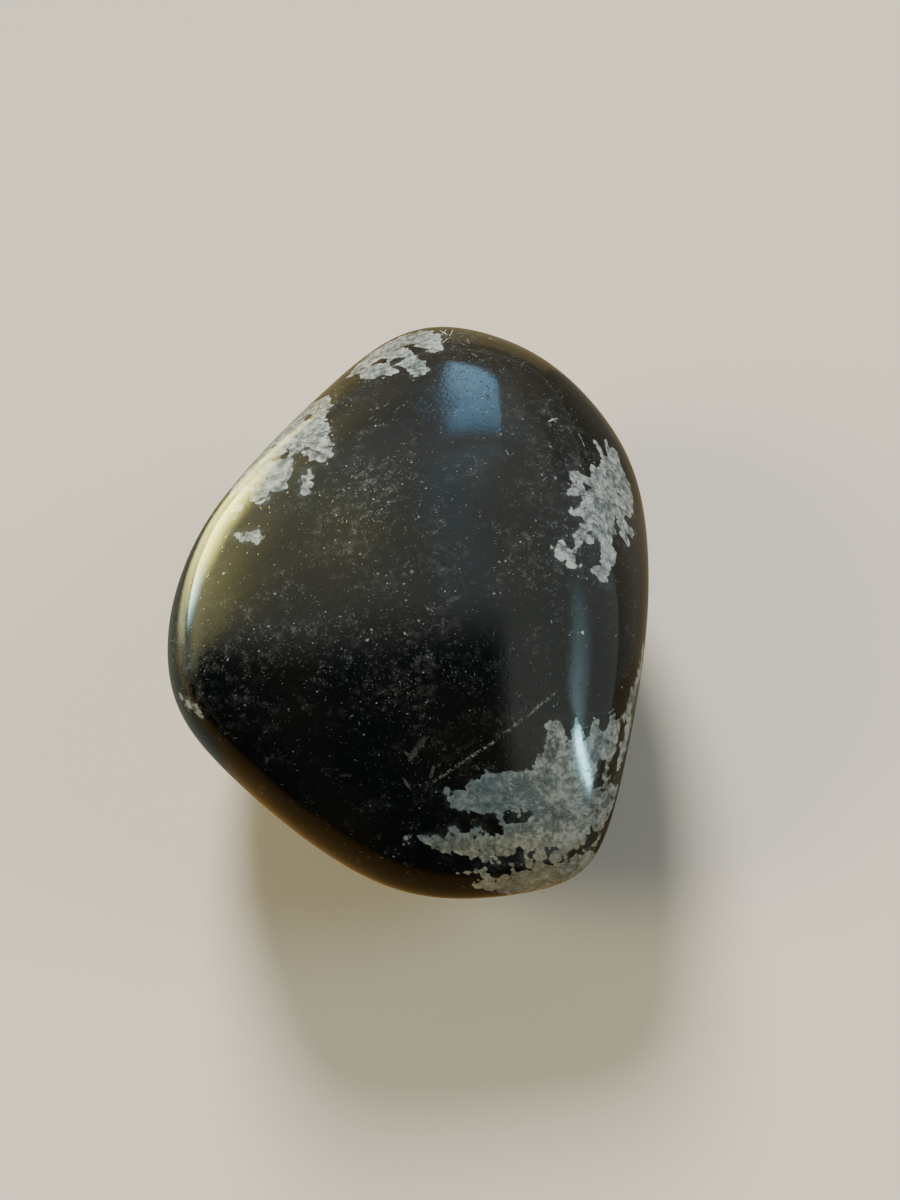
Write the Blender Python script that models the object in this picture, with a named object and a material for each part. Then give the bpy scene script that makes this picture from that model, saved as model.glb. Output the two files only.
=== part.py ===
"""Snowflake obsidian: a tumbled stone, one solid piece of volcanic glass.

Metres, +Z up. The stone lies on its side, as a pebble does, on a small flat that
tumbling has left underneath. The origin is on the floor below its middle.

The shape is a set of worn facets. Each facet is a plane at its own distance from
the middle of the stone, and all of them are blended, so that every edge between
two facets is a soft ridge.
"""

import math

import bmesh
import bpy
from mathutils import Vector

MM = 0.001

# Driving dimensions, in millimetres and degrees.
MIDDLE = Vector((0.2, 0.0, 10.0))    # the point that all facets are measured from
FOOT_DEPTH = 0.25                    # how far below the floor the lowest facet would be
RIDGE_SHARPNESS = 11                 # higher makes tighter ridges between facets
FACES_PER_SIDE = 24                  # of the cube that is rounded into the stone

# Facets: heading (0 faces +X, 90 faces +Y), tilt away from straight up, distance.
FACETS = (
    (90, 4, 11.4),       # crown, the top
    (90, 22, 12.5),      # crown, its far side
    (-90, 16, 11.6),     # crown, its near side
    (-92, 32, 12.8),     # brow, where the crown rolls over to the near end
    (-99, 50, 15.2),     # brow, lower down
    (-8, 47, 14.7),      # right flank
    (-42, 57, 17.0),     # right flank, near half
    (172, 54, 16.4),     # left flank
    (-140, 75, 18.0),    # near left shoulder
    (0, 87, 18.6),       # rim, going round from the right
    (30, 73, 18.6),
    (60, 62, 22.5),
    (104, 58, 25.0),     # the far end
    (131, 64, 14.45),    # the long straight edge on the far left
    (154, 76, 17.2),
    (178, 88, 17.6),
    (-146, 108, 16.7),   # the straight edge on the near left
    (-132, 117, 19.2),
    (-107, 121, 20.4),
    (-66, 118, 25.5),    # the tight corner at the near right
    (-23, 104, 14.6),    # the straight edge on the right
    (0, 180, 10.0 + FOOT_DEPTH),
    (80, 118, 18.4),     # underside, far
    (84, 148, 13.6),
    (172, 122, 16.4),    # underside, left
    (165, 148, 12.8),
    (12, 118, 16.6),     # underside, right
    (8, 147, 12.8),
    (-92, 133, 19.0),    # underside, near
    (-86, 156, 12.6),
)

# Swells: shallow waves over the surface. Direction, waves across the stone, height.
SWELLS = (
    (Vector((0.9, 0.3, 0.3)), 1.6, 0.07),
    (Vector((-0.3, 0.9, 0.2)), 2.3, 0.05),
    (Vector((0.5, -0.5, 0.7)), 2.9, 0.04),
)

GLASS_COLOUR = (0.016, 0.016, 0.015, 1.0)
GLASS_ROUGHNESS = 0.12


def facing(heading, tilt):
    """Unit vector with a heading round the stone and a tilt from straight up."""
    around = math.radians(heading)
    down = math.radians(tilt)
    level = math.sin(down)
    return Vector((level * math.cos(around), level * math.sin(around), math.cos(down)))


def clear_scene():
    for old in list(bpy.data.objects):
        bpy.data.objects.remove(old, do_unlink=True)


def glass_material():
    material = bpy.data.materials.new("obsidian")
    material.use_nodes = True
    shader = material.node_tree.nodes["Principled BSDF"]
    shader.inputs["Base Color"].default_value = GLASS_COLOUR
    shader.inputs["Roughness"].default_value = GLASS_ROUGHNESS
    shader.inputs["Metallic"].default_value = 0.0
    return material


def reach(direction, planes):
    """Distance from the middle of the stone to its surface in one direction."""
    total = 0.0
    for normal, distance in planes:
        share = max(0.0, normal.dot(direction) / distance)
        total += share ** RIDGE_SHARPNESS
    radius = total ** (-1.0 / RIDGE_SHARPNESS)
    for along, waves, height in SWELLS:
        radius += height * math.sin(waves * math.pi * along.dot(direction))
    return radius


def stone_mesh():
    """A finely divided cube, rounded to a ball and pulled out to the facets."""
    planes = [(facing(heading, tilt), distance) for heading, tilt, distance in FACETS]
    shape = bmesh.new()
    bmesh.ops.create_cube(shape, size=2.0)
    bmesh.ops.subdivide_edges(
        shape, edges=shape.edges[:], cuts=FACES_PER_SIDE - 1, use_grid_fill=True
    )
    for corner in shape.verts:
        even = Vector([math.tan(part * math.pi / 4) for part in corner.co])
        direction = even.normalized()
        place = MIDDLE + direction * reach(direction, planes)
        place.z = max(0.0, place.z)
        corner.co = place * MM
    bmesh.ops.triangulate(shape, faces=shape.faces[:])
    mesh = bpy.data.meshes.new("stone")
    shape.to_mesh(mesh)
    shape.free()
    return mesh


def build_stone():
    mesh = stone_mesh()
    mesh.materials.append(glass_material())
    mesh.shade_smooth()
    stone = bpy.data.objects.new("stone", mesh)
    bpy.context.scene.collection.objects.link(stone)


clear_scene()
build_stone()
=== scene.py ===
"""A tumbled stone of snowflake obsidian, with the look of its real surface."""
import math
import random

import bpy
import numpy as np
from mathutils import Matrix, Vector
from mathutils.bvhtree import BVHTree


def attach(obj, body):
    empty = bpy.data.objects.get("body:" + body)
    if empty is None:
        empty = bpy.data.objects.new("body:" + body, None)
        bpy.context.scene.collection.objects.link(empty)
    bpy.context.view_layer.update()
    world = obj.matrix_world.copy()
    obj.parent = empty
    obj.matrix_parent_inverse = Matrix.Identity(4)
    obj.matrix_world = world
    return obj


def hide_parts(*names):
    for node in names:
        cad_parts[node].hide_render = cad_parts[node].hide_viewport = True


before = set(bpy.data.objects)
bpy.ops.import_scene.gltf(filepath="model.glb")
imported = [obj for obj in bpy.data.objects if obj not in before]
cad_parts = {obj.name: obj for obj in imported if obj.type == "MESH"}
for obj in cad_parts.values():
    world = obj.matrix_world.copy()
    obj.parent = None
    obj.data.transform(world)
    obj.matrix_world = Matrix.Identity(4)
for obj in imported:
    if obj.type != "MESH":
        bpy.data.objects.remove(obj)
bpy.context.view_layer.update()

# ------------------------------------------------------------------------------
# The stone: one pebble of volcanic glass, about 41 mm long. Weeks in a tumbler
# wear facets on it and round the ridges between them, and the last polish leaves
# a glassy skin with very shallow waves. Sizes are in millimetres and degrees.
# ------------------------------------------------------------------------------
MM = 0.001
MIDDLE = Vector((0.2, 0.0, 10.0))    # the point that all facets are measured from
FOOT_DEPTH = 0.25                    # how far below the floor the lowest facet would be
RIDGE_SHARPNESS = 11.0               # higher makes tighter ridges between facets
FACES_PER_SIDE = 125                 # of the cube that is rounded into the stone

# Facets: heading (0 faces +X, 90 faces +Y), tilt away from straight up, distance.
FACETS = (
    (90, 4, 11.4),       # crown, the top
    (90, 22, 12.5),      # crown, its far side
    (-90, 16, 11.6),     # crown, its near side
    (-92, 32, 12.8),     # brow, where the crown rolls over to the near end
    (-99, 50, 15.2),     # brow, lower down
    (-8, 47, 14.7),      # right flank
    (-42, 57, 17.0),     # right flank, near half
    (172, 54, 16.4),     # left flank
    (-140, 75, 18.0),    # near left shoulder
    (0, 87, 18.6),       # rim, going round from the right
    (30, 73, 18.6),
    (60, 62, 22.5),
    (104, 58, 25.0),     # the far end
    (131, 64, 14.45),    # the long straight edge on the far left
    (154, 76, 17.2),
    (178, 88, 17.6),
    (-146, 108, 16.7),   # the straight edge on the near left
    (-132, 117, 19.2),
    (-107, 121, 20.4),
    (-66, 118, 25.5),    # the tight corner at the near right
    (-23, 104, 14.6),    # the straight edge on the right
    (0, 180, 10.0 + FOOT_DEPTH),
    (80, 118, 18.4),     # underside, far
    (84, 148, 13.6),
    (172, 122, 16.4),    # underside, left
    (165, 148, 12.8),
    (12, 118, 16.6),     # underside, right
    (8, 147, 12.8),
    (-92, 133, 19.0),    # underside, near
    (-86, 156, 12.6),
)

# Swells: shallow waves over the surface. Direction, waves across the stone, height.
SWELLS = (
    (Vector((0.9, 0.3, 0.3)), 1.6, 0.07),
    (Vector((-0.3, 0.9, 0.2)), 2.3, 0.05),
    (Vector((0.5, -0.5, 0.7)), 2.9, 0.04),
)
POLISH_WAVE = 4.5                    # length of the waves that polishing leaves
POLISH_DEPTH = 0.022                 # and their depth, kept inside the facets
SHEET_MARGIN = 0.012                 # bare edge round each side in the unwrapped sheet


class Wire:
    """A socket in a node tree. Arithmetic on wires adds the Math nodes that do it."""

    def __init__(self, tree, socket):
        self.tree = tree
        self.socket = socket

    @classmethod
    def of(cls, tree, kind, settings=None, sockets=None, out=0):
        """Add a node, with its settings first, then the values or links of its sockets."""
        node = tree.nodes.new(kind)
        for name, value in (settings or {}).items():
            setattr(node, name, value)
        for name, value in (sockets or {}).items():
            if isinstance(value, cls):
                tree.links.new(value.socket, node.inputs[name])
            else:
                node.inputs[name].default_value = value
        return cls(tree, node.outputs[out]) if node.outputs else None

    def other(self, out):
        """Another output of the node that this wire comes from."""
        return Wire(self.tree, self.socket.node.outputs[out])

    def math(self, operation, *others):
        values = dict(enumerate((self, *others)))
        return Wire.of(self.tree, "ShaderNodeMath", {"operation": operation}, values)

    def vector(self, operation, other, out=0):
        settings = {"operation": operation}
        name = "Scale" if operation == "SCALE" else 1
        sockets = {0: self, name: other}
        return Wire.of(self.tree, "ShaderNodeVectorMath", settings, sockets, out)

    def dot(self, other):
        return self.vector("DOT_PRODUCT", other, "Value")

    def ramp(self, low, high, low_value=0.0, high_value=1.0):
        """Smooth step from low to high."""
        sockets = {
            "Value": self, "From Min": low, "From Max": high,
            "To Min": low_value, "To Max": high_value,
        }
        settings = {"interpolation_type": "SMOOTHSTEP"}
        return Wire.of(self.tree, "ShaderNodeMapRange", settings, sockets)

    def __add__(self, other):
        return self.math("ADD", other)

    def __mul__(self, other):
        return self.math("MULTIPLY", other)

    def __sub__(self, other):
        return self.math("SUBTRACT", other)

    def __pow__(self, other):
        return self.math("POWER", other)

    def __rsub__(self, other):
        return self * -1.0 + other

    __radd__ = __add__
    __rmul__ = __mul__


def facing(heading, tilt):
    """Unit vector with a heading round the stone and a tilt from straight up."""
    around = math.radians(heading)
    down = math.radians(tilt)
    level = math.sin(down)
    return Vector((level * math.cos(around), level * math.sin(around), math.cos(down)))


def worn_stone_tree(material):
    """A finely divided cube, rounded to a ball and pulled out to the facets."""
    tree = bpy.data.node_groups.new("worn stone", "GeometryNodeTree")
    inputs = (
        ("Faces per side", "NodeSocketInt"),
        ("Ridge sharpness", "NodeSocketFloat"),
        ("Polish wave", "NodeSocketFloat"),
        ("Polish depth", "NodeSocketFloat"),
        ("Middle", "NodeSocketVector"),
    )
    tree.interface.new_socket("Stone", in_out="OUTPUT", socket_type="NodeSocketGeometry")
    for name, kind in inputs:
        tree.interface.new_socket(name, in_out="INPUT", socket_type=kind)
    group = tree.nodes.new("NodeGroupInput")
    sizes = {name: Wire(tree, group.outputs[name]) for name, kind in inputs}

    corners = sizes["Faces per side"] + 1
    cube = Wire.of(tree, "GeometryNodeMeshCube", None, {
        "Size": (2.0, 2.0, 2.0),
        "Vertices X": corners, "Vertices Y": corners, "Vertices Z": corners,
    })
    place = Wire.of(tree, "GeometryNodeInputPosition")
    marked = Wire.of(
        tree, "GeometryNodeStoreNamedAttribute",
        {"data_type": "FLOAT_VECTOR", "domain": "POINT"},
        {"Geometry": cube, "Name": "cube side", "Value": place},
    )
    angle = place.vector("SCALE", math.pi / 4)
    even = angle.vector("TANGENT", (0.0, 0.0, 0.0))
    direction = even.vector("NORMALIZE", (0.0, 0.0, 0.0))

    total = None
    for heading, tilt, distance in FACETS:
        share = direction.dot(facing(heading, tilt) / distance).math("MAXIMUM", 0.0)
        share = share ** sizes["Ridge sharpness"]
        total = share if total is None else total + share
    # Facets blend by a soft maximum: the sharper it is, the closer it follows them.
    radius = total ** (sizes["Ridge sharpness"] ** -1.0 * -1.0)
    for along, waves, height in SWELLS:
        swell = direction.dot(along * waves * math.pi).math("SINE")
        radius = radius + swell * height
    outer = direction.vector("SCALE", radius)
    waves = Wire.of(tree, "ShaderNodeTexNoise", {"noise_dimensions": "3D"}, {
        "Vector": outer, "Scale": sizes["Polish wave"] ** -1.0,
        "Detail": 1.0, "Roughness": 0.4,
    })
    hollow = (waves - 0.75) * sizes["Polish depth"] * 2.0
    outer = direction.vector("SCALE", radius + hollow)
    outer = outer.vector("ADD", sizes["Middle"])
    outer = outer.vector("MAXIMUM", (-100.0, -100.0, 0.0))
    stone = Wire.of(tree, "GeometryNodeSetPosition", None, {
        "Geometry": marked, "Position": outer.vector("SCALE", MM),
    })
    smooth = Wire.of(tree, "GeometryNodeSetShadeSmooth", None, {"Geometry": stone})
    whole = Wire.of(tree, "GeometryNodeRealizeInstances", None, {"Geometry": smooth})
    made = Wire.of(tree, "GeometryNodeSetMaterial", None, {
        "Geometry": whole, "Material": material,
    })
    finish = tree.nodes.new("NodeGroupOutput")
    tree.links.new(made.socket, finish.inputs["Stone"])
    return tree


def grown_mesh(tree, sizes):
    """The plain mesh that a Geometry Nodes tree makes with these sizes."""
    blank = bpy.data.objects.new("blank", bpy.data.meshes.new("blank"))
    bpy.context.scene.collection.objects.link(blank)
    growth = blank.modifiers.new("growth", "NODES")
    growth.node_group = tree
    for item in tree.interface.items_tree:
        if item.in_out == "INPUT":
            growth[item.identifier] = sizes[item.name]
    depsgraph = bpy.context.evaluated_depsgraph_get()
    mesh = bpy.data.meshes.new_from_object(blank.evaluated_get(depsgraph))
    blank.modifiers.remove(growth)
    bpy.data.objects.remove(blank, do_unlink=True)
    return mesh


obsidian = bpy.data.materials.new("snowflake obsidian")
stone_mesh = grown_mesh(worn_stone_tree(obsidian), {
    "Faces per side": FACES_PER_SIDE,
    "Ridge sharpness": RIDGE_SHARPNESS,
    "Polish wave": POLISH_WAVE,
    "Polish depth": POLISH_DEPTH,
    "Middle": MIDDLE,
})
stone_mesh.name = "polished_stone"
polished_stone = bpy.data.objects.new("polished_stone", stone_mesh)
bpy.context.scene.collection.objects.link(polished_stone)


def read_vectors(mesh, name):
    values = np.empty(len(mesh.vertices) * 3)
    mesh.attributes[name].data.foreach_get("vector", values)
    return values.reshape(-1, 3)


def unwrap_by_cube_side(mesh):
    """Lay the six sides of the cube the stone grew from in a sheet three by two."""
    corners = np.empty(len(mesh.loops), dtype=int)
    mesh.loops.foreach_get("vertex_index", corners)
    corner_sides = read_vectors(mesh, "cube side")[corners].reshape(-1, 4, 3)
    middles = corner_sides.mean(axis=1)
    rows = np.arange(len(middles))
    axis = np.abs(middles).argmax(axis=1)
    sign = np.sign(middles[rows, axis])
    across = corner_sides[rows, :, (axis + 1) % 3] * sign[:, None]
    up = corner_sides[rows, :, (axis + 2) % 3]
    column = axis[:, None]
    row = (sign < 0).astype(float)[:, None]
    inside = 1.0 - 2.0 * SHEET_MARGIN
    u = (column + SHEET_MARGIN + (across + 1.0) / 2.0 * inside) / 3.0
    v = (row + SHEET_MARGIN + (up + 1.0) / 2.0 * inside) / 2.0
    layer = mesh.uv_layers.new(name="OFBake")
    layer.data.foreach_set("uv", np.stack([u, v], axis=-1).ravel())
    layer.active = True
    layer.active_render = True


unwrap_by_cube_side(stone_mesh)

# ------------------------------------------------------------------------------
# The snowflakes: balls of pale cristobalite crystal that grew in the hot glass
# from a seed outwards, in arms that end in rounded lobes. The polish cuts them
# flush with the surface. Each arm is a row of (heading, tilt, half width) points.
# ------------------------------------------------------------------------------
SNOWFLAKES = (
    {   # right flank
        "seed": (-4.5, 59.5),
        "fineness": 1.15,
        "arms": (
            ((-3.5, 54.5, 0.9), (-3, 59.5, 1.1), (-4, 64, 1.4), (0.5, 67, 1.4)),
            ((0, 59.5, 0.9), (6, 65, 0.9), (6.5, 68, 0.9)),
            ((7.5, 64, 0.3), (13, 63, 0.25)),
            ((6, 65, 0.5), (11, 66.5, 0.45), (15.5, 67.5, 0.3)),
            ((6.5, 68, 0.8), (13, 69, 0.5)),
            ((5, 68.5, 1.1), (0, 69, 1.0), (-4, 68.5, 0.7)),
            ((-7.5, 64.5, 0.7), (-12, 65, 0.6), (-16.5, 66, 0.35)),
            ((-4, 56, 0.8), (-6, 51, 0.6), (-8, 48, 0.2)),
            ((-2, 54.5, 0.6), (0, 50.5, 0.4)),
            ((1, 59, 0.6), (4.5, 58.5, 0.4)),
            ((-9.5, 55, 0.7), (-15, 50.5, 0.35)),
            ((-13, 54.5, 0.6), (-18.5, 52.5, 0.4), (-24.5, 50.5, 0.36)),
            ((-30.5, 48, 0.56), (-30, 48.5, 0.56)),
            ((-28.5, 51, 0.3), (-26.5, 51, 0.25)),
            ((-32.5, 51, 0.36), (-32.5, 52.5, 0.18)),
            ((-14, 56.5, 0.5), (-22.5, 54.5, 0.34)),
            ((-9.5, 59, 1.0), (-16.5, 59, 0.75), (-23, 59.5, 0.7), (-32, 59, 0.4)),
            ((-28, 59, 0.3), (-31, 56.5, 0.32)),
            ((-11, 68.5, 0.25), (-13, 68, 0.25)),
        ),
        "gaps": ((-3, 53.5, 0.18),),
    },
    {   # near corner, the largest
        "seed": (-72.5, 81.5),
        "fineness": 3.0,
        "arms": (
            ((-67, 70, 0.5), (-69, 73, 0.65), (-72, 76.5, 1.2)),
            ((-63.5, 71.5, 0.35), (-66, 75.5, 0.7), (-70, 79, 1.6)),
            ((-60, 74, 0.4), (-62.5, 76.5, 0.9), (-67.5, 79.5, 1.8)),
            ((-56, 74.5, 0.3), (-58.5, 77.5, 0.8), (-64, 79.5, 0.9)),
            ((-55.5, 77, 0.3), (-59, 79, 0.6)),
            ((-74, 74.5, 0.35), (-72.5, 73, 0.15)),
            ((-93.5, 75.5, 0.25), (-91, 78, 0.6), (-86.5, 77.5, 1.2), (-82.5, 77.5, 1.35),
             (-78, 78.5, 1.3), (-73, 80, 1.8), (-72, 83.5, 1.8)),
            ((-99.5, 83, 0.22), (-102.5, 82.5, 0.2)),
            ((-98.5, 84, 0.5), (-95.5, 84.5, 0.62), (-91.5, 85, 0.75), (-88, 86, 0.65),
             (-83.5, 85.5, 0.9), (-78, 85, 1.4), (-74, 86, 1.4)),
            ((-94, 82.5, 0.3), (-94, 84, 0.4)),
            ((-89, 82, 0.3), (-89.5, 84, 0.45)),
            ((-85, 82.5, 0.4), (-84, 84.5, 0.6)),
            ((-92, 87, 0.35), (-88.5, 87, 0.5), (-86, 87.5, 0.4)),
            ((-91.5, 92, 0.4), (-87, 93, 1.0), (-81, 93, 1.4), (-77, 93.5, 1.3), (-74, 93, 1.0)),
            ((-95, 89.5, 0.15), (-90.5, 90, 0.25)),
            ((-88, 89, 0.22), (-84, 89.3, 0.34), (-79, 89.3, 0.42), (-75, 88.5, 0.5)),
            ((-71.5, 90.5, 0.6), (-68.5, 88.5, 0.7), (-66, 86, 0.7), (-64, 84.5, 0.5)),
        ),
        "gaps": (
            (-87, 83, 0.5), (-89, 81.5, 0.2), (-83.5, 81.5, 0.2), (-83.5, 87.5, 0.3),
            (-64, 80.5, 0.3), (-66, 82, 0.3), (-71.5, 89.5, 0.35), (-74.5, 90, 0.25),
        ),
    },
    {   # far left edge
        "seed": (120.5, 42.5),
        "fineness": 1.0,
        "arms": (
            ((101, 55, 0.4), (105.5, 52.5, 0.9), (113, 47.5, 1.2), (120.5, 42.5, 1.4),
             (125, 45.5, 1.5)),
            ((112, 42, 0.9), (118.5, 35.5, 0.9), (123.5, 28, 0.4)),
            ((107.5, 56, 1.6), (118, 52, 2.0), (128.5, 51, 2.0), (137, 50, 1.6), (147, 48, 1.1)),
            ((137, 30.5, 0.36), (150, 26.5, 0.34)),
            ((134, 39.5, 0.75), (147, 35, 0.7)),
            ((140, 41.5, 1.0), (155, 38.5, 0.7)),
            ((144.5, 45, 1.1), (152, 44, 0.6)),
            ((160.5, 43, 0.42), (165, 42.5, 0.34)),
            ((173, 41, 0.42), (177.5, 37, 0.48)),
        ),
        "gaps": ((111, 51.5, 0.3), (130, 41.5, 0.3), (132, 35.5, 0.28), (134.5, 30.5, 0.24)),
    },
    {   # far end
        "seed": (77.5, 68.5),
        "fineness": 1.4,
        "arms": (
            ((91, 63.5, 0.5), (89.5, 64, 0.4)),
            ((87.5, 62.5, 0.85), (84, 60, 1.1), (80.5, 58, 0.6)),
            ((88.5, 66, 0.9), (82.5, 70.5, 1.25), (79, 71, 1.45), (75.5, 71, 1.4)),
            ((82, 70.5, 0.95), (77, 62.5, 0.9), (71, 56, 0.65)),
            ((76, 71, 1.15), (72.5, 69, 1.2), (69, 64, 0.6)),
        ),
        "gaps": ((79.5, 62, 0.45), (72.5, 63, 0.25)),
    },
    {   # slivers on the right rim
        "seed": (-45, 78.5),
        "fineness": 2.0,
        "arms": (
            ((-38, 78, 0.5), (-41.5, 79.5, 0.6), (-46.5, 78.5, 0.35)),
            ((-47.5, 78, 0.5), (-51, 78.5, 0.6), (-53.5, 78, 0.3)),
            ((-54, 81, 0.5), (-57.5, 83, 0.6), (-60, 84, 0.3)),
            ((-62, 87, 0.4), (-65, 89, 0.5)),
        ),
        "gaps": (),
    },
    {   # a chip of one on the left rim
        "seed": (-153.5, 67),
        "fineness": 2.0,
        "arms": (((-157.5, 69.5, 0.3), (-153.5, 67.5, 0.4), (-150, 67, 0.25)),),
        "gaps": (),
    },
)

# Round snowflakes on the other sides: heading, tilt, radius, number of arms.
ROUND_SNOWFLAKES = (
    (35, 118, 3.6, 9),
    (-20, 132, 4.4, 10),
    (100, 112, 3.0, 8),
    (150, 128, 4.2, 10),
    (-160, 100, 2.6, 8),
    (-118, 124, 3.4, 9),
    (60, 165, 2.4, 7),
    (-100, 168, 2.9, 8),
    (24, 88, 2.2, 7),
)

SNOWFLAKE_LUCK = 41                  # starts the random numbers of the round snowflakes
ROUND_FINENESS = 1.2                 # how fine their petals are
ARM_WIDTH = 0.36                     # of six arms, as a share of the radius
FORK_CHANCE = 0.6                    # of each possible fork in an arm
FAR_OUTSIDE = -9.0                   # depth in mm before any arm is reached
DEPTH_KEPT = 3.0                     # depths are cut off at this many mm

surface = BVHTree.FromObject(polished_stone, bpy.context.evaluated_depsgraph_get())
points = read_vectors(stone_mesh, "position") / MM


def on_stone(direction):
    """Where a line from the stone's middle comes out, in millimetres."""
    place = surface.ray_cast(MIDDLE * MM, direction)[0]
    return np.array(place) / MM


def grown_arms(heading, tilt, radius, count, luck):
    """Arms of a round snowflake: each runs out from the seed and most of them fork."""
    out = facing(heading, tilt)
    side = out.orthogonal().normalized()
    seed = Vector(on_stone(out))

    def step(angle, length):
        turned = Matrix.Rotation(angle, 3, out) @ side
        return on_stone((seed + turned * length - MIDDLE).normalized())

    arms = []
    for number in range(count):
        angle = (number + luck.uniform(-0.28, 0.28)) * 2 * math.pi / count
        length = radius * luck.uniform(0.72, 1.1)
        width = ARM_WIDTH * radius * luck.uniform(0.7, 1.1) * 6 / count
        middle = step(angle, length * 0.55)
        root = step(angle, 0.01)
        tip = step(angle, length)
        arms.append(((root, width * 1.7), (middle, width), (tip, width * 0.7)))
        for fork in (-1, 1):
            if luck.random() < FORK_CHANCE:
                turn = angle + fork * luck.uniform(0.2, 0.36)
                reach = length * luck.uniform(0.8, 1.05)
                arms.append(((middle, width * 0.7), (step(turn, reach), width * 0.55)))
    return arms


def inside_depth(start, end, start_half, end_half):
    """How deep each point of the stone lies in a tapering arm, negative outside it."""
    run = end - start
    share = np.clip((points - start) @ run / max(run @ run, 1e-9), 0.0, 1.0)
    nearest = start + share[:, None] * run
    half = start_half + (end_half - start_half) * share
    return half - np.linalg.norm(points - nearest, axis=1)


def grow_snowflakes():
    """Depth inside the crystals in mm, and the direction they grew at each point."""
    luck = random.Random(SNOWFLAKE_LUCK)
    flakes = []
    for flake in SNOWFLAKES:
        arms = [
            [(on_stone(facing(heading, tilt)), half) for heading, tilt, half in arm]
            for arm in flake["arms"]
        ]
        gaps = [(on_stone(facing(heading, tilt)), half) for heading, tilt, half in flake["gaps"]]
        flakes.append((facing(*flake["seed"]), arms, gaps, flake["fineness"]))
    for heading, tilt, radius, count in ROUND_SNOWFLAKES:
        arms = grown_arms(heading, tilt, radius, count, luck)
        flakes.append((facing(heading, tilt), arms, [], ROUND_FINENESS))

    depth = np.full(len(points), FAR_OUTSIDE)
    growth = np.zeros((len(points), 3))
    for out, arms, gaps, fineness in flakes:
        own = np.full(len(points), FAR_OUTSIDE)
        for arm in arms:
            for (start, start_half), (end, end_half) in zip(arm, arm[1:]):
                own = np.maximum(own, inside_depth(start, end, start_half, end_half))
        for middle, half in gaps:
            own = np.minimum(own, np.linalg.norm(points - middle, axis=1) - half)
        outward = np.array(out)
        away = points - on_stone(out)
        away -= (away @ outward)[:, None] * outward
        length = np.linalg.norm(away, axis=1)[:, None] + 0.3
        # Petals fan out from the seed; the last term gives each snowflake its own ones.
        fan = away / length * 2.6 + outward * (length * 0.5 + 7.0 * out.x + 5.0 * out.z)
        fan *= fineness
        nearer = own > depth
        growth[nearer] = fan[nearer]
        depth = np.maximum(depth, own)
    return np.clip(depth, -DEPTH_KEPT, DEPTH_KEPT), growth


snow_depth, snow_growth = grow_snowflakes()
layer = stone_mesh.attributes.new("snow depth", "FLOAT", "POINT")
layer.data.foreach_set("value", snow_depth)
layer = stone_mesh.attributes.new("snow growth", "FLOAT_VECTOR", "POINT")
layer.data.foreach_set("vector", snow_growth.ravel())

CLEAN = -0.15                        # dustiness of well polished glass
# Where the polish is dusty with tiny pits: heading, tilt, radius, strength.
DUSTY = (
    (174, 9, 3.4, 1.0),
    (-142, 20, 2.6, 0.7),
    (1.5, 50, 3.6, 0.9),
    (-35, 45, 3.0, 0.8),
    (-149, 52, 4.0, 0.8),
    (-136, 45, 3.6, 0.6),
    (-100, 44, 4.4, 0.8),
    (-19, 46, 2.6, 0.7),
    (66, 69, 1.8, 1.6),
    (47, 46, 2.4, 0.55),
    (16, 53, 2.2, 1.0),
    (101, 52, 1.8, 0.7),
    (52, 55, 2.2, 0.7),
    (-90, 68, 3.2, 0.5),
    (-157, 65, 2.2, 1.6),
    (-166, 61, 1.8, 1.4),
    (100, 140, 5.0, 0.7),
    (-60, 150, 5.0, 0.6),
    (0, 100, 4.0, 0.6),
)
dust = np.full(len(points), CLEAN)
for heading, tilt, radius, strength in DUSTY:
    gap = np.linalg.norm(points - on_stone(facing(heading, tilt)), axis=1)
    dust = np.maximum(dust, strength * np.exp(-((gap / radius) ** 2)))
layer = stone_mesh.attributes.new("dust", "FLOAT", "POINT")
layer.data.foreach_set("value", dust)

# ------------------------------------------------------------------------------
# The polished surface: near-black glass with a faint brown cast, pale crystal
# where a snowflake is cut, fine pits and hairlines from tumbling, and one old
# crack across the brow. All of it is one surface, glossy on the glass.
# ------------------------------------------------------------------------------
GLASS_BLACK = (0.0024, 0.0027, 0.0026, 1.0)
GLASS_BROWN = (0.0066, 0.0055, 0.0030, 1.0)
CRYSTAL_PALE = (0.370, 0.408, 0.392, 1.0)
CRYSTAL_GREY = (0.072, 0.094, 0.100, 1.0)
CRYSTAL_BLUE = (0.120, 0.175, 0.225, 1.0)
# the tan of the painted table reflection on the crystal
TABLE_REFLECTION_TAN = (0.235, 0.212, 0.130, 1.0)
CRYSTAL_DARK = (0.012, 0.014, 0.013, 1.0)
# the pale of dust and specks, and of the painted glints along the crack
DUST_AND_GLINT_WHITE = (0.46, 0.50, 0.50, 1.0)
PETALS = 1.5                         # these four are counts per millimetre
LARGE_LOBES = 1.5
SMALL_LOBES = 3.3
FIBRES = 3.4
GLASS_ROUGHNESS = 0.075
CRYSTAL_ROUGHER = 0.05               # added on crystal
MARKS_ROUGHER = 0.5                  # added on specks and scratches
GLASS_IOR = 1.5
CRACK_START = facing(-97, 74)
CRACK_END = facing(-62.5, 65)

obsidian.use_nodes = True
surface_tree = obsidian.node_tree
surface_tree.nodes.clear()


def node(kind, settings=None, sockets=None, out=0):
    return Wire.of(surface_tree, kind, settings, sockets, out)


def attribute(name, out):
    return node("ShaderNodeAttribute", {"attribute_name": name}, None, out)


def noise(place, scale, detail=2.0, roughness=0.5, out=0):
    """Soft random values round 0.5. Scale is in features per millimetre."""
    return node("ShaderNodeTexNoise", {"noise_dimensions": "3D"}, {
        "Vector": place, "Scale": scale, "Detail": detail, "Roughness": roughness,
    }, out)


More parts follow.
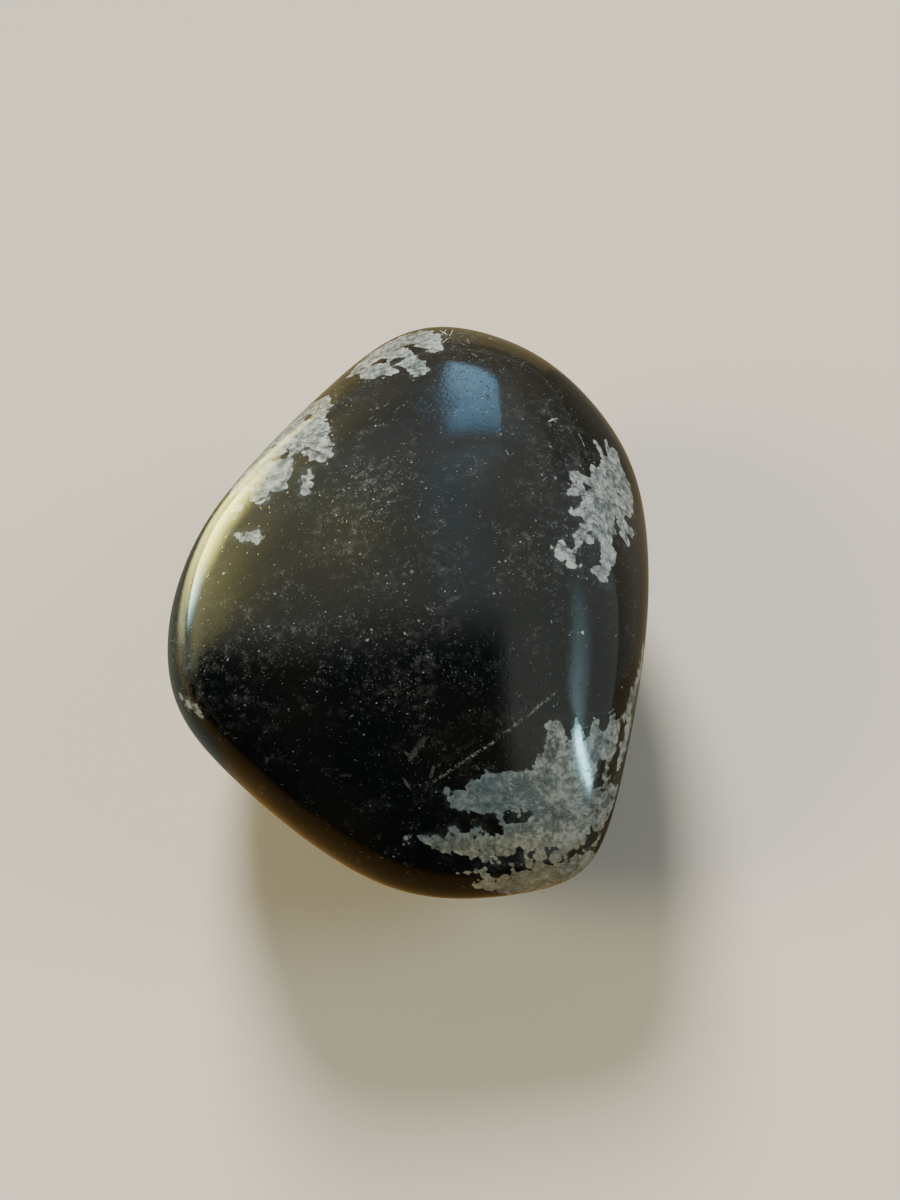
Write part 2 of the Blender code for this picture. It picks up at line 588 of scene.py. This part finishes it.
def cells(place, scale, out="Distance", feature="F1"):
    """Voronoi cells. Scale is in cells per millimetre."""
    return node("ShaderNodeTexVoronoi", {"feature": feature}, {
        "Vector": place, "Scale": scale,
    }, out)


def blend(factor, first, second):
    return node("ShaderNodeMix", {"data_type": "RGBA"}, {
        "Factor": factor, 6: first, 7: second,
    }, 2)


def moved(place, offset):
    return place.vector("ADD", offset)


here = node("ShaderNodeTexCoord", None, None, "Object").vector("SCALE", 1 / MM)
depth = attribute("snow depth", "Fac")
growth = attribute("snow growth", "Vector")
dusty = attribute("dust", "Fac")

# Petals that fan out from the seed, and round lobes, break up the edge of every arm.
drift = noise(here, 1.1, 2.0, 0.5, "Color").vector("SUBTRACT", (0.5, 0.5, 0.5))
curly = moved(here, drift.vector("SCALE", 0.5))
fanned = moved(growth, drift.vector("SCALE", 0.45))
petal = cells(fanned, PETALS)
petal_gap = cells(fanned, PETALS, "Distance", "DISTANCE_TO_EDGE")
large_lobe = cells(curly, LARGE_LOBES)
small_lobe = cells(curly, SMALL_LOBES)
edge = depth + (0.45 - petal) * 0.42 + (0.46 - large_lobe) * 0.56 + (0.45 - small_lobe) * 0.26
edge = edge + (noise(here, 6.0, 2.0, 0.6) - 0.5) * 0.06
split = cells(fanned, 0.8, "Distance", "DISTANCE_TO_EDGE").ramp(0.055, 0.02)
left_side = here.dot((1.0, 0.0, 0.0)).ramp(-1.0, -3.0)
split = split * noise(here, 0.7, 2.0).ramp(0.50, 0.58) * left_side
crystal = edge.ramp(-0.03, 0.06) * (1 - split)
buried = edge.ramp(-0.5, 0.05) * noise(here, 0.9, 2.0).ramp(0.42, 0.62)

# The crystal: petals a little darker where they meet, fibres along them, and mottling.
# Painted shade makes it darker at the near corner, where it is also bluer higher up, and a
# painted reflection of the tan table tints it low down on the near side.
fibre = noise(growth, FIBRES, 2.0, 0.55)
tint = petal.other("Color").dot((1.0, 0.0, 0.0))
grains = noise(here, 4.0, 3.0, 0.6)
cloud = noise(here, 0.5, 3.0, 0.55)
clump = noise(curly, 1.5, 2.0, 0.5)
# Paleness runs from 0, grey, to 1, pale.
paleness = (fibre - 0.5) * 1.1 + (tint - 0.5) * 0.30 + (0.45 - large_lobe) * 0.35
paleness = paleness + (noise(here, 2.3, 4.0, 0.7) - 0.5) * 1.7
paleness = paleness + (grains - 0.5) * 0.9 + (clump - 0.5) * 1.3 + (cloud - 0.5) * 1.0
# Painted shade: the crystal is made darker at the near corner of the stone.
near_corner_painted_shade = here.dot((1.0, 0.0, 0.0)).ramp(6.0, 1.5) * here.dot((0.0, 1.0, 0.0)).ramp(-11.0, -15.0)
paleness = paleness + edge.ramp(0.35, 0.0) * 0.14 - near_corner_painted_shade * 0.16 + 0.48
crystal_colour = blend(paleness.ramp(0.0, 1.0), CRYSTAL_GREY, CRYSTAL_PALE)
blued = near_corner_painted_shade * here.dot((0.0, 0.5, 1.0)).ramp(1.8, 4.0)
crystal_colour = blend(blued * 0.55, crystal_colour, CRYSTAL_BLUE)
# Painted reflection: a tan tint low down on the near side stands for the table seen in the
# polish.
low_down = here.dot((0.12, 0.5, 1.0))
painted_table_reflection = low_down.ramp(4.2, 0.6) * noise(here, 0.7, 3.0, 0.6).ramp(0.26, 0.56)
crystal_colour = blend(painted_table_reflection * 0.58, crystal_colour, TABLE_REFLECTION_TAN)
meeting = petal_gap.ramp(0.13, 0.0) * noise(here, 1.2, 2.0).ramp(0.36, 0.60)
hole = noise(here, 2.6, 3.0, 0.6).ramp(0.66, 0.74)
cleft = cells(curly, LARGE_LOBES, "Distance", "DISTANCE_TO_EDGE").ramp(0.15, 0.0)
cleft = cleft * noise(here, 0.8, 2.0).ramp(0.44, 0.60)
shade = (meeting * 0.35 + cleft * 0.30 + hole * 0.75).math("MINIMUM", 1.0)
crystal_colour = blend(shade, crystal_colour, CRYSTAL_DARK)

# The glass, with a brown cast in some parts and buried crystal under it in others.
glass_colour = blend(noise(here, 0.09, 2.0).ramp(0.40, 0.62), GLASS_BLACK, GLASS_BROWN)
glass_colour = blend(buried * 0.22, glass_colour, CRYSTAL_GREY)

# Pits and specks from tumbling, thick where the polish is dusty.
drifted = moved(here, noise(here, 2.0, 1.0, 0.5, "Color").vector("SCALE", 0.25))
drifted = moved(drifted, noise(here, 9.0, 1.0, 0.5, "Color").vector("SCALE", 0.12))


def specks(place, scale, size, chance):
    """Round specks, one in some of the cells. Size is a share of the cell."""
    found = cells(place, scale)
    luck = found.other("Color").dot((1.0, 0.0, 0.0))
    return found.ramp(size, size * 0.5) * (luck + chance).ramp(0.90, 1.0)


patch = (noise(here, 0.55, 4.0, 0.65) + dusty * 0.28).ramp(0.46, 0.80)
powder = noise(drifted, 1.9, 5.0, 0.82).ramp(0.560, 0.645) * patch
smudge = noise(drifted, 1.6, 4.0, 0.65).ramp(0.48, 0.72) * patch
bright_speck = specks(drifted, 2.6, 0.19, patch * 0.26 - 0.05)
fine_speck = specks(drifted, 4.6, 0.25, patch * 0.34 - 0.02)
pits = specks(moved(drifted, (3.1, 8.2, 4.4)), 3.4, 0.30, 0.12 + dusty * 0.45)
round_speck = specks(moved(here, (7.3, 2.1, 5.9)), 1.1, 0.09, dusty * 0.05)


def hairlines(turn, shift, length, width, chance):
    """Short straight scratches that all run one way."""
    turned = node("ShaderNodeMapping", {"vector_type": "TEXTURE"}, {
        "Vector": here, "Location": shift, "Rotation": turn,
        "Scale": (length, width, width),
    })
    return specks(turned, 1.0, 0.22, chance)


scratch = hairlines((0.3, 0.2, 0.7), (1.0, 2.0, 3.0), 1.5, 0.17, 0.03 + dusty * 0.18)
scratch = scratch.math(
    "MAXIMUM", hairlines((0.1, -0.3, -0.4), (4.0, 1.0, 2.0), 1.1, 0.15, 0.02 + dusty * 0.20),
)

# The scratches and nicks that stand out, one by one: from, to, half width, paleness.
NICKS = (
    ((67.5, 73.5), (67, 68.5), 0.05, 0.60),      # hairs over the far end
    ((67, 68.5), (68.5, 65.5), 0.05, 0.55),
    ((70.5, 73), (67.5, 69.5), 0.07, 0.55),
    ((69, 73.5), (69, 69.5), 0.06, 0.45),
    ((64, 66), (60.5, 64), 0.04, 0.22),
    ((63, 68.5), (60.5, 64.5), 0.04, 0.25),
    ((59, 61.5), (55.5, 59.5), 0.04, 0.18),
    ((58.5, 69.5), (55.5, 68), 0.05, 0.30),
    ((43.5, 59), (44, 61.5), 0.04, 0.15),
    ((20.5, 50), (21, 53), 0.08, 0.55),          # above the right flank
    ((21.5, 51.5), (19.5, 52), 0.07, 0.35),
    ((16, 57), (13.5, 57.5), 0.05, 0.32),
    ((13.5, 57.5), (11, 57.5), 0.06, 0.28),
    ((14.5, 36.5), (10.5, 36.5), 0.05, 0.30),
    ((-172.6, 45), (-172.4, 45), 0.10, 0.75),    # round pits full of dust
    ((-48.1, 60), (-47.9, 60), 0.11, 0.80),
    ((-2.6, 45.5), (-2.4, 45.5), 0.11, 0.28),
    ((10.5, 12.5), (11.5, 12.5), 0.10, 0.20),
    ((-85.6, 24), (-85.4, 24), 0.11, 0.22),
    ((-97, 40.5), (-96.5, 40.8), 0.08, 0.40),
    ((-90, 38), (-89.5, 38.2), 0.07, 0.40),
    ((-96, 65), (-98.5, 67), 0.20, 0.08),        # feathers of crystal over the brow
    ((-98, 66.5), (-100.5, 69), 0.17, 0.11),
    ((-101.5, 67), (-100, 68.5), 0.10, 0.12),
    ((-102.5, 72), (-101, 74.5), 0.11, 0.12),
    ((-95, 70.5), (-96.5, 73), 0.11, 0.14),
    ((-116.5, 71), (-113.5, 71), 0.09, 0.06),
)
NICK_PIT = (56.5, 54.5)              # one deep round pit in the crown


def nick(start, end, half_width):
    """A slim mark that tapers to its ends."""
    first = Vector(on_stone(facing(*start)))
    last = Vector(on_stone(facing(*end)))
    run = last - first
    turn = run.to_track_quat("X", "Z").to_euler()
    place = node("ShaderNodeMapping", {"vector_type": "TEXTURE"}, {
        "Vector": jittered, "Location": (first + last) / 2, "Rotation": turn,
        "Scale": (run.length / 2 + half_width, half_width, half_width * 3.0),
    })
    return place.vector("LENGTH", (0.0, 0.0, 0.0), "Value").ramp(1.0, 0.6)


jittered = noise(here, 7.0, 1.0, 0.5, "Color").vector("SUBTRACT", (0.5, 0.5, 0.5))
jittered = moved(here, jittered.vector("SCALE", 0.14))
nicks = None
for start, end, half_width, strength in NICKS:
    mark = nick(start, end, half_width) * strength
    nicks = mark if nicks is None else nicks.math("MAXIMUM", mark)
nicks = nicks * noise(here, 9.0, 3.0, 0.7).ramp(0.38, 0.60, 0.30, 1.30)
deep_pit = nick(NICK_PIT, (NICK_PIT[0] + 1.2, NICK_PIT[1]), 0.11)

# The old crack: a plane through two points of the brow, broken into short painted glints, pale
# colour for the light the crack catches.
crack_from = Vector(on_stone(CRACK_START))
crack_run = Vector(on_stone(CRACK_END)) - crack_from
crack_length = crack_run.length
crack_along = crack_run.normalized()
crack_out = (CRACK_START + CRACK_END).normalized()
crack_across = crack_along.cross(crack_out).normalized()
from_crack = here.vector("SUBTRACT", crack_from)
along = from_crack.dot(crack_along)
wander = (noise(here, 1.2, 3.0) - 0.5) * 0.22 + (noise(here, 6.0, 2.0) - 0.5) * 0.10
across = (from_crack.dot(crack_across) + wander).math("ABSOLUTE")
on_brow = from_crack.dot(crack_out).ramp(-2.5, -1.5)
in_reach = along.ramp(-0.3, 0.4) * along.ramp(crack_length + 0.3, crack_length - 0.8)
# Painted highlight: pale glints along the crack.
painted_glint = noise(here, 3.6, 3.0, 0.7).ramp(0.40, 0.60)
painted_glint = painted_glint * noise(here, 9.0, 2.0, 0.6).ramp(0.42, 0.56)
crack = across.ramp(0.115, 0.02) * on_brow * in_reach * painted_glint

# How much of the dust's colour each kind of mark shows; on the crack it is painted glints.
worn = (bright_speck + round_speck).math("MINIMUM", 1.0)
marks = worn * 0.42 + fine_speck * 0.17 + powder * 0.12 + smudge * 0.055 + scratch * 0.17
marks = marks + nicks + crack * 0.48
marks = marks.math("MINIMUM", 1.0)
skin_colour = blend(crystal, glass_colour, crystal_colour)
skin_colour = blend(marks, skin_colour, DUST_AND_GLINT_WHITE)

smear = noise(here, 0.45, 4.0, 0.6)
glass_rough = GLASS_ROUGHNESS + (smear - 0.5) * 0.06 + dusty * 0.04
skin_rough = glass_rough + crystal * CRYSTAL_ROUGHER + marks * MARKS_ROUGHER

# Tiny pits and dents left in the polish, and a fine grain on the crystal, all in mm.
dent = noise(here, 3.2, 2.0, 0.5).ramp(0.50, 0.70)
grain = noise(here, 11.0, 2.0, 0.6)
relief = deep_pit * -0.05 + worn * -0.012 + pits * -0.010 + dent * -0.0012
relief = relief + depth.ramp(-0.05, 0.25) * (grain - 0.5) * 0.0012
bumped = node("ShaderNodeBump", None, {"Strength": 1.0, "Distance": MM, "Height": relief})

skin = node("ShaderNodeBsdfPrincipled", None, {
    "Base Color": skin_colour, "Roughness": skin_rough, "Normal": bumped,
    "Metallic": 0.0, "IOR": GLASS_IOR,
})
node("ShaderNodeOutputMaterial", None, {"Surface": skin})

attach(polished_stone, "root")
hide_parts("stone")

# ------------------------------------------------------------------------------
# The table and the light: a pale matt table and four soft lamps. The polish alone
# also sees glowing ribbons, for a window, walls, a dark card and two ridge lamps,
# over a tan table top. None of it belongs to the stone.
# ------------------------------------------------------------------------------
AIM = Vector((2.25, -0.55, 9.8)) * MM
VIEW_DISTANCE = 80 * MM
VIEW_HEIGHT = math.radians(58)
VIEW_ROLL = math.radians(-15)
ROOM_COLOUR = (0.94, 1.0, 0.93, 1.0)
ROOM_STRENGTH = 0.84
LENS = 36.0                          # focal length, on a sensor just as wide
FLOOR_COLOUR = (0.66, 0.60, 0.51, 1.0)
TAN_COLOUR = (0.165, 0.128, 0.078, 1.0)
TAN_HEIGHT = 0.05 * MM               # clear of the pale table
FLOOR_ROUGHNESS = 0.75
FLOOR_HALF = 3.0                     # metres from the middle to each side

back = Vector((0.0, -math.cos(VIEW_HEIGHT), math.sin(VIEW_HEIGHT)))
level = Vector((1.0, 0.0, 0.0))
steep = back.cross(level)
right = level * math.cos(VIEW_ROLL) + steep * math.sin(VIEW_ROLL)
above = steep * math.cos(VIEW_ROLL) - level * math.sin(VIEW_ROLL)
eye = AIM + back * VIEW_DISTANCE

camera = bpy.data.objects.new("camera", bpy.data.cameras.new("camera"))
turned = Matrix((right, above, back)).transposed().to_4x4()
camera.matrix_world = Matrix.Translation(eye) @ turned
camera.data.lens = LENS
camera.data.sensor_width = LENS
camera.data.clip_start = 0.005
camera.data.clip_end = 20.0
bpy.context.scene.collection.objects.link(camera)
bpy.context.scene.camera = camera

room = bpy.data.worlds.new("room")
room.use_nodes = True
room.node_tree.nodes["Background"].inputs["Color"].default_value = ROOM_COLOUR
room.node_tree.nodes["Background"].inputs["Strength"].default_value = ROOM_STRENGTH
room.cycles_visibility.diffuse = False
room.cycles.sampling_method = "NONE"
bpy.context.scene.world = room


def matt(name, colour):
    finish = bpy.data.materials.new(name)
    finish.use_nodes = True
    shader = finish.node_tree.nodes["Principled BSDF"]
    shader.inputs["Base Color"].default_value = colour
    shader.inputs["Roughness"].default_value = FLOOR_ROUGHNESS
    return finish


def toward(start, azimuth, elevation, distance):
    """A point away from start; azimuth turns from +Y to +X."""
    turn = math.radians(azimuth)
    rise = math.radians(elevation)
    away = math.cos(rise) * distance
    step = Vector((away * math.sin(turn), away * math.cos(turn), math.sin(rise) * distance))
    return Vector(start) * MM + step


def reflector(name, one_side, other_side, colours, strengths, fades):
    """A glowing ribbon that is seen only in the polish, and fades out at its edges.

    Colours and strengths run from its start to its end. The fades are shares of
    its width at the two sides, and of its length at the start and the end.
    """
    count = len(one_side)
    faces = [(i, i + 1, count + i + 1, count + i) for i in range(count - 1)]
    mesh = bpy.data.meshes.new(name)
    mesh.from_pydata([*one_side, *other_side], [], faces)
    layer = mesh.uv_layers.new(name="spread")
    for face in mesh.polygons:
        for corner in face.loop_indices:
            vertex = mesh.loops[corner].vertex_index
            layer.data[corner].uv = (vertex // count, vertex % count / (count - 1))

    finish = bpy.data.materials.new(name)
    finish.use_nodes = True
    tree = finish.node_tree
    tree.nodes.clear()
    spread = Wire.of(tree, "ShaderNodeTexCoord", None, None, "UV")
    across = spread.dot((1.0, 0.0, 0.0))
    length = spread.dot((0.0, 1.0, 0.0))
    cover = across.ramp(0.0, fades[0]) * across.ramp(1.0, 1.0 - fades[1])
    cover = cover * length.ramp(0.0, fades[2]) * length.ramp(1.0, 1.0 - fades[3])
    colour = Wire.of(tree, "ShaderNodeMix", {"data_type": "RGBA"}, {
        "Factor": length.ramp(0.45, 0.95), 6: (*colours[0], 1.0), 7: (*colours[1], 1.0),
    }, 2)
    glow = colour.vector("SCALE", length * (strengths[1] - strengths[0]) + strengths[0])
    light = Wire.of(tree, "ShaderNodeEmission", None, {"Color": glow, "Strength": 1.0})
    clear = Wire.of(tree, "ShaderNodeBsdfTransparent")
    mixed = Wire.of(tree, "ShaderNodeMixShader", None, {0: cover, 1: clear, 2: light})
    Wire.of(tree, "ShaderNodeOutputMaterial", None, {"Surface": mixed})
    finish.cycles.emission_sampling = "NONE"
    mesh.materials.append(finish)

    ribbon = bpy.data.objects.new(name, mesh)
    ribbon.visible_camera = False
    ribbon.visible_diffuse = False
    ribbon.visible_shadow = False
    ribbon.visible_transmission = False
    bpy.context.scene.collection.objects.link(ribbon)


def arc(start, distance, *places):
    return [toward(start, azimuth, elevation, distance) for azimuth, elevation in places]


def flat(height, *places):
    return [Vector((x, y, height)) * MM for x, y in places]


def table(name, colour, height):
    mesh = bpy.data.meshes.new(name)
    sides = ((-1, -1), (1, -1), (1, 1), (-1, 1))
    corners = [(x * FLOOR_HALF, y * FLOOR_HALF, height) for x, y in sides]
    mesh.from_pydata(corners, [], [(0, 1, 2, 3)])
    mesh.materials.append(matt(name, colour))
    top = bpy.data.objects.new(name, mesh)
    bpy.context.scene.collection.objects.link(top)
    return top


table("pale table", FLOOR_COLOUR, 0.0).visible_glossy = False
tan_table = table("tan table in the reflections", TAN_COLOUR, TAN_HEIGHT)
tan_table.visible_camera = False
tan_table.visible_diffuse = False
tan_table.visible_shadow = False

# What the polish picks up from the table: directions from and to, distances from
# and to, share of the distance that fades in, colour, strength.
TABLE_PATCHES = (
    ("far table", -12, 60, 0.16, 2.6, 0.02, (1.0, 0.93, 0.72), 0.22),
    ("shaded table", 27, 64, 0.016, 1.4, 0.02, (1.0, 0.93, 0.67), 0.20),
    ("paler table", 62, 112, 0.016, 1.4, 0.02, (1.0, 0.92, 0.70), 0.42),
    ("browner table", 165, 268, 0.014, 1.4, 0.001, (1.0, 0.58, 0.18), 0.34),
    ("unlit table", 160, 275, 0.028, 1.5, 0.080, (1.0, 0.60, 0.30), 0.02),
    ("darker table", 245, 322, 0.014, 0.050, 0.01, (0.95, 1.0, 0.80), 0.16),
)
for level_up, (name, first, last, near, far, fade, colour, strength) in enumerate(TABLE_PATCHES):
    spots = [(first + (last - first) * share / 6, 0) for share in range(7)]
    middle = (4, 0, 0.3 + level_up * 0.1)
    reflector(
        name, arc(middle, near, *spots), arc(middle, far, *spots),
        (colour, colour), (strength, strength), (fade, 0.3, 0.15, 0.15),
    )

CROWN = (7.0, 8.0, 19.5)
reflector(
    "window",
    arc(CROWN, 0.9, (4.4, 5.9), (4.2, 13.7), (3.7, 20), (2.9, 24.5), (2.4, 31)),
    arc(CROWN, 0.9, (8.1, 11.5), (11.3, 16.2), (12.1, 22.6), (14.5, 30), (17.3, 40)),
    ((0.35, 0.68, 1.0), (0.35, 0.68, 1.0)), (4.4, 3.0), (0.06, 0.06, 0.03, 0.28),
)
reflector(
    "window bay",
    arc(CROWN, 1.2, (-3, 3), (-3, 14), (-4, 24), (-6, 36)),
    arc(CROWN, 1.2, (19, 5), (22, 14), (27, 24), (36, 42)),
    ((0.95, 0.96, 0.92), (0.80, 0.95, 1.0)), (0.12, 1.1), (0.6, 0.25, 0.3, 0.2),
)
reflector(
    "dark wall",
    arc(CROWN, 1.5, (-40, 0), (-20, 0), (0, 0), (20, 0), (40, 0), (60, 0), (80, 0)),
    arc(CROWN, 1.5, (-40, 34), (-20, 34), (0, 34), (20, 34), (40, 34), (60, 34), (80, 34)),
    ((1.0, 0.96, 0.82), (1.0, 0.98, 0.90)), (0.46, 0.36), (0.01, 0.45, 0.25, 0.2),
)
reflector(
    "low wall",
    arc(CROWN, 1.35, (-4, 0), (10, 0), (25, 0), (40, 0), (55, 0)),
    arc(CROWN, 1.35, (-4, 14), (10, 14), (25, 14), (40, 14), (55, 14)),
    ((1.0, 0.97, 0.85), (1.0, 0.97, 0.85)), (0.28, 0.24), (0.01, 0.7, 0.2, 0.2),
)
reflector(
    "ceiling bay",
    flat(1040, (50, 1600), (-20, 100), (-120, -300)),
    flat(1040, (480, 1000), (190, 60), (100, -360)),
    ((0.74, 0.92, 1.0), (0.84, 1.0, 1.0)), (1.25, 0.85), (0.35, 0.35, 0.05, 0.2),
)
reflector(
    "ceiling",
    flat(1060, (-1500, -1500), (-1500, 1500)),
    flat(1060, (1500, -1500), (1500, 1500)),
    ((0.93, 1.0, 0.93), (0.93, 1.0, 0.93)), (0.84, 0.84), (0.36, 0.36, 0.36, 0.36),
)
reflector(
    "warm wall",
    arc((-12, 1, 14), 0.9, (-98, 2), (-100, 38), (-110, 60), (-150, 80)),
    arc((-12, 1, 14), 0.9, (9, 2), (1, 36), (6, 60), (60, 80)),
    ((1.0, 0.95, 0.44), (1.0, 0.97, 0.56)), (4.3, 0.55), (0.50, 0.5, 0.2, 0.6),
)
reflector(
    "rim lamp",
    arc((-12, 1, 14), 0.5, (-12, -1), (-27, -4), (-40, -2), (-54, 1), (-68, 4)),
    arc((-12, 1, 14), 0.5, (-16, 34), (-27, 34), (-40, 38), (-54, 30), (-68, 24)),
    ((1.0, 0.95, 0.24), (0.50, 0.90, 1.0)), (40.0, 34.0), (0.16, 0.84, 0.25, 0.35),
)
reflector(
    "sunlit table",
    flat(0.2, (-60, 500), (-22, 60), (-18, 38), (-28, 24), (-42, 14), (-70, 6)),
    flat(0.2, (-240, 900), (-300, 600), (-500, 500), (-700, 420), (-800, 300), (-800, 120)),
    ((1.0, 0.94, 0.30), (0.60, 0.85, 0.85)), (14.0, 2.0), (0.04, 0.5, 0.3, 0.80),
)
reflector(
    "ridge lamp",
    arc((8, -12, 16), 0.4, (154, 35), (156, 27), (152, 17), (147, 8)),
    arc((8, -12, 16), 0.4, (150, 31), (149, 22), (144, 8), (142, 2)),
    ((0.40, 0.90, 1.0), (0.55, 0.93, 1.0)), (70.0, 90.0), (0.3, 0.3, 0.15, 0.15),
)
reflector(
    "ridge strip",
    arc((8, -10, 17), 0.35, (78, 25), (104, 30), (125, 30), (139, 27), (146, 24)),
    arc((8, -10, 17), 0.35, (78, 45), (106, 53), (132, 52), (150, 47), (156, 39)),
    ((0.66, 0.93, 1.0), (0.62, 0.93, 1.0)), (1.2, 3.8), (0.65, 0.35, 0.3, 0.1),
)


def beside_eye(across, up):
    """A point in the plane of the lens, in millimetres right of and above it."""
    return eye + (right * across + above * up) * MM


reflector(
    "dark card",
    [beside_eye(-320, -300), beside_eye(-320, 28)],
    [beside_eye(24, -300), beside_eye(6, 38)],
    ((0.5, 0.8, 1.0), (0.26, 0.58, 1.0)), (0.0, 0.090), (0.45, 0.022, 0.01, 0.11),
)
reflector(
    "near left wall",
    arc((-6, -6, 12), 0.8, (168, 0), (192, 0), (216, 0), (240, 0), (262, 0), (284, 0)),
    arc((-6, -6, 12), 0.8, (168, 44), (192, 44), (216, 44), (240, 38), (262, 30), (284, 24)),
    ((0.8, 0.8, 1.0), (1.0, 0.97, 0.70)), (0.02, 0.20), (0.01, 0.50, 0.3, 0.15),
)


def soft_light(name, azimuth, elevation, spread, strength, colour):
    """A far soft lamp that lights the stone and table but draws no highlight."""
    lamp = bpy.data.lights.new(name, "SUN")
    lamp.angle = math.radians(spread)
    lamp.energy = strength
    lamp.color = colour
    light = bpy.data.objects.new(name, lamp)
    aim = toward((0.0, 0.0, 0.0), azimuth, elevation, 1.0)
    light.matrix_world = aim.to_track_quat("Z", "Y").to_matrix().to_4x4()
    light.visible_camera = False
    light.visible_glossy = False
    bpy.context.scene.collection.objects.link(light)


soft_light("key light", 4, 38, 18, 6.0, (1.0, 0.97, 0.92))
soft_light("right light", 100, 34, 30, 1.3, (0.82, 0.96, 1.0))
soft_light("left light", -82, 34, 30, 2.2, (1.0, 0.91, 0.56))
soft_light("sky light", 0, 90, 150, 0.4, (1.0, 0.98, 0.92))
